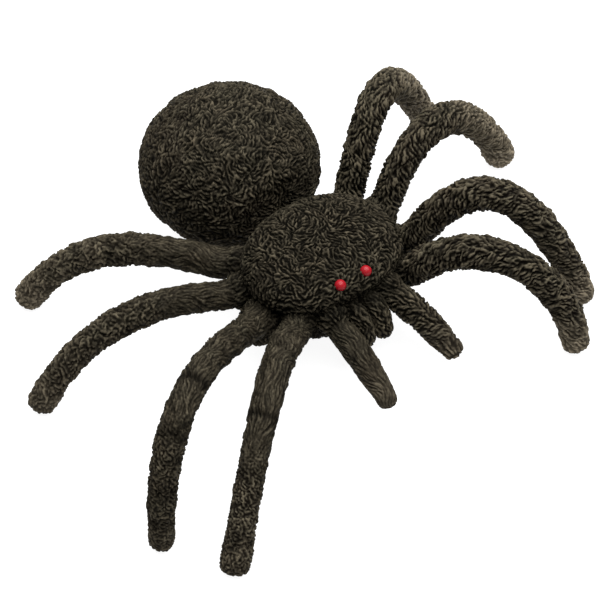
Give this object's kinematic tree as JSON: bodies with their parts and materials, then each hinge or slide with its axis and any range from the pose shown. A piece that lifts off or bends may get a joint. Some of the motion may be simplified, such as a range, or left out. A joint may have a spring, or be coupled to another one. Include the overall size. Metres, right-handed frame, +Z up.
{
  "type": "poseable toy tarantula",
  "caption": "Black rubber toy tarantula with moulded fur, red bead eyes, a domed body and a round abdomen, standing on jointed arched legs that swing at the hips and bend at the knees.",
  "frame": {"origin": "on the floor, under the middle of the standing toy's outline, level with the flat pads of the feet", "axes": "+Z up, the spider faces -Y and its right side is -X"},
  "size_m": [0.2235, 0.1718, 0.0632],
  "materials": {
    "fur_rubber": "brownish black soft rubber with moulded fur, satin",
    "red_bead": "glossy red bead",
    "core_plastic": "matt dark grey moulded plastic",
    "pin_steel": "drawn steel"
  },
  "bodies": {
    "root": {"carapace": "fur_rubber", "sternum": "fur_rubber", "frame_upper": "core_plastic", "frame_lower": "core_plastic", "frame_spacers": "core_plastic", "frame_screws": "pin_steel", "hip_pins": "pin_steel", "waist_bracket": "core_plastic", "waist_pin": "pin_steel", "eye_right": "red_bead", "eye_left": "red_bead", "chelicera_right": "fur_rubber", "chelicera_left": "fur_rubber"},
    "abdomen": {"abdomen": "fur_rubber", "waist_link": "core_plastic"},
    "pedipalp_right": {"pedipalp_right": "fur_rubber", "pedipalp_right_bone": "core_plastic"},
    "pedipalp_left": {"pedipalp_left": "fur_rubber", "pedipalp_left_bone": "core_plastic"},
    "right_thigh_1": {"right_leg_1_thigh_skin": "fur_rubber", "right_leg_1_thigh_bone": "core_plastic"},
    "right_shin_1": {"right_leg_1_shin_skin": "fur_rubber", "right_leg_1_shin_bone": "core_plastic", "right_leg_1_knee_pin": "pin_steel"},
    "right_thigh_2": {"right_leg_2_thigh_skin": "fur_rubber", "right_leg_2_thigh_bone": "core_plastic"},
    "right_shin_2": {"right_leg_2_shin_skin": "fur_rubber", "right_leg_2_shin_bone": "core_plastic", "right_leg_2_knee_pin": "pin_steel"},
    "right_thigh_3": {"right_leg_3_thigh_skin": "fur_rubber", "right_leg_3_thigh_bone": "core_plastic"},
    "right_shin_3": {"right_leg_3_shin_skin": "fur_rubber", "right_leg_3_shin_bone": "core_plastic", "right_leg_3_knee_pin": "pin_steel"},
    "right_thigh_4": {"right_leg_4_thigh_skin": "fur_rubber", "right_leg_4_thigh_bone": "core_plastic"},
    "right_shin_4": {"right_leg_4_shin_skin": "fur_rubber", "right_leg_4_shin_bone": "core_plastic", "right_leg_4_knee_pin": "pin_steel"},
    "left_thigh_1": {"left_leg_1_thigh_skin": "fur_rubber", "left_leg_1_thigh_bone": "core_plastic"},
    "left_shin_1": {"left_leg_1_shin_skin": "fur_rubber", "left_leg_1_shin_bone": "core_plastic", "left_leg_1_knee_pin": "pin_steel"},
    "left_thigh_2": {"left_leg_2_thigh_skin": "fur_rubber", "left_leg_2_thigh_bone": "core_plastic"},
    "left_shin_2": {"left_leg_2_shin_skin": "fur_rubber", "left_leg_2_shin_bone": "core_plastic", "left_leg_2_knee_pin": "pin_steel"},
    "left_thigh_3": {"left_leg_3_thigh_skin": "fur_rubber", "left_leg_3_thigh_bone": "core_plastic"},
    "left_shin_3": {"left_leg_3_shin_skin": "fur_rubber", "left_leg_3_shin_bone": "core_plastic", "left_leg_3_knee_pin": "pin_steel"},
    "left_thigh_4": {"left_leg_4_thigh_skin": "fur_rubber", "left_leg_4_thigh_bone": "core_plastic"},
    "left_shin_4": {"left_leg_4_shin_skin": "fur_rubber", "left_leg_4_shin_bone": "core_plastic", "left_leg_4_knee_pin": "pin_steel"}
  },
  "joints": [
    {"name": "waist_nod", "type": "hinge", "parent": "root", "child": "abdomen", "pos_m": [0.00086, 0.01241, 0.024], "axis": [1, 0, 0], "range_deg": [-4, 8]},
    {"name": "pedipalp_right_swing", "type": "hinge", "parent": "root", "child": "pedipalp_right", "pos_m": [-0.01114, -0.02359, 0.024], "axis": [0, 0, -1], "range_deg": [0, 12]},
    {"name": "pedipalp_left_swing", "type": "hinge", "parent": "root", "child": "pedipalp_left", "pos_m": [0.01286, -0.02359, 0.024], "axis": [0, 0, 1], "range_deg": [-12, 4]},
    {"name": "right_hip_1", "type": "hinge", "parent": "root", "child": "right_thigh_1", "pos_m": [-0.01714, -0.01709, 0.024], "axis": [0, 0, 1], "range_deg": [-4, 14]},
    {"name": "right_knee_1", "type": "hinge", "parent": "right_thigh_1", "child": "right_shin_1", "pos_m": [-0.06103, -0.05392, 0.03363], "axis": [-0.6428, 0.766, 0], "range_deg": [-25, 20]},
    {"name": "right_hip_2", "type": "hinge", "parent": "root", "child": "right_thigh_2", "pos_m": [-0.02514, -0.00659, 0.024], "axis": [0, 0, 1], "range_deg": [-16, 4]},
    {"name": "right_knee_2", "type": "hinge", "parent": "right_thigh_2", "child": "right_shin_2", "pos_m": [-0.079, -0.04025, 0.04979], "axis": [-0.5299, 0.848, 0], "range_deg": [-25, 20]},
    {"name": "right_hip_3", "type": "hinge", "parent": "root", "child": "right_thigh_3", "pos_m": [-0.02514, 0.00341, 0.024], "axis": [0, 0, 1], "range_deg": [-10, 16]},
    {"name": "right_knee_3", "type": "hinge", "parent": "right_thigh_3", "child": "right_shin_3", "pos_m": [-0.07358, 0.01195, 0.03064], "axis": [0.1736, 0.9848, 0], "range_deg": [-25, 20]},
    {"name": "right_hip_4", "type": "hinge", "parent": "root", "child": "right_thigh_4", "pos_m": [-0.01864, 0.01241, 0.024], "axis": [0, 0, 1], "range_deg": [-8, 10]},
    {"name": "right_knee_4", "type": "hinge", "parent": "right_thigh_4", "child": "right_shin_4", "pos_m": [-0.05743, 0.04382, 0.02965], "axis": [0.6293, 0.7771, 0], "range_deg": [-25, 20]},
    {"name": "left_hip_1", "type": "hinge", "parent": "root", "child": "left_thigh_1", "pos_m": [0.01886, -0.01709, 0.024], "axis": [0, 0, -1], "range_deg": [-4, 6]},
    {"name": "left_knee_1", "type": "hinge", "parent": "left_thigh_1", "child": "left_shin_1", "pos_m": [0.04801, -0.0544, 0.03952], "axis": [-0.788, -0.6157, 0], "range_deg": [-25, 20]},
    {"name": "left_hip_2", "type": "hinge", "parent": "root", "child": "left_thigh_2", "pos_m": [0.02686, -0.00659, 0.024], "axis": [0, 0, -1], "range_deg": [-16, 4]},
    {"name": "left_knee_2", "type": "hinge", "parent": "left_thigh_2", "child": "left_shin_2", "pos_m": [0.05994, -0.03744, 0.04987], "axis": [-0.682, -0.7314, 0], "range_deg": [-25, 20]},
    {"name": "left_hip_3", "type": "hinge", "parent": "root", "child": "left_thigh_3", "pos_m": [0.02686, 0.00341, 0.024], "axis": [0, 0, -1], "range_deg": [-5, 16]},
    {"name": "left_knee_3", "type": "hinge", "parent": "left_thigh_3", "child": "left_shin_3", "pos_m": [0.07256, 0.01147, 0.04659], "axis": [0.1736, -0.9848, 0], "range_deg": [-25, 20]},
    {"name": "left_hip_4", "type": "hinge", "parent": "root", "child": "left_thigh_4", "pos_m": [0.02036, 0.01241, 0.024], "axis": [0, 0, -1], "range_deg": [-12, 5]},
    {"name": "left_knee_4", "type": "hinge", "parent": "left_thigh_4", "child": "left_shin_4", "pos_m": [0.05884, 0.03118, 0.0562], "axis": [0.4384, -0.8988, 0], "range_deg": [-25, 20]}
  ]
}
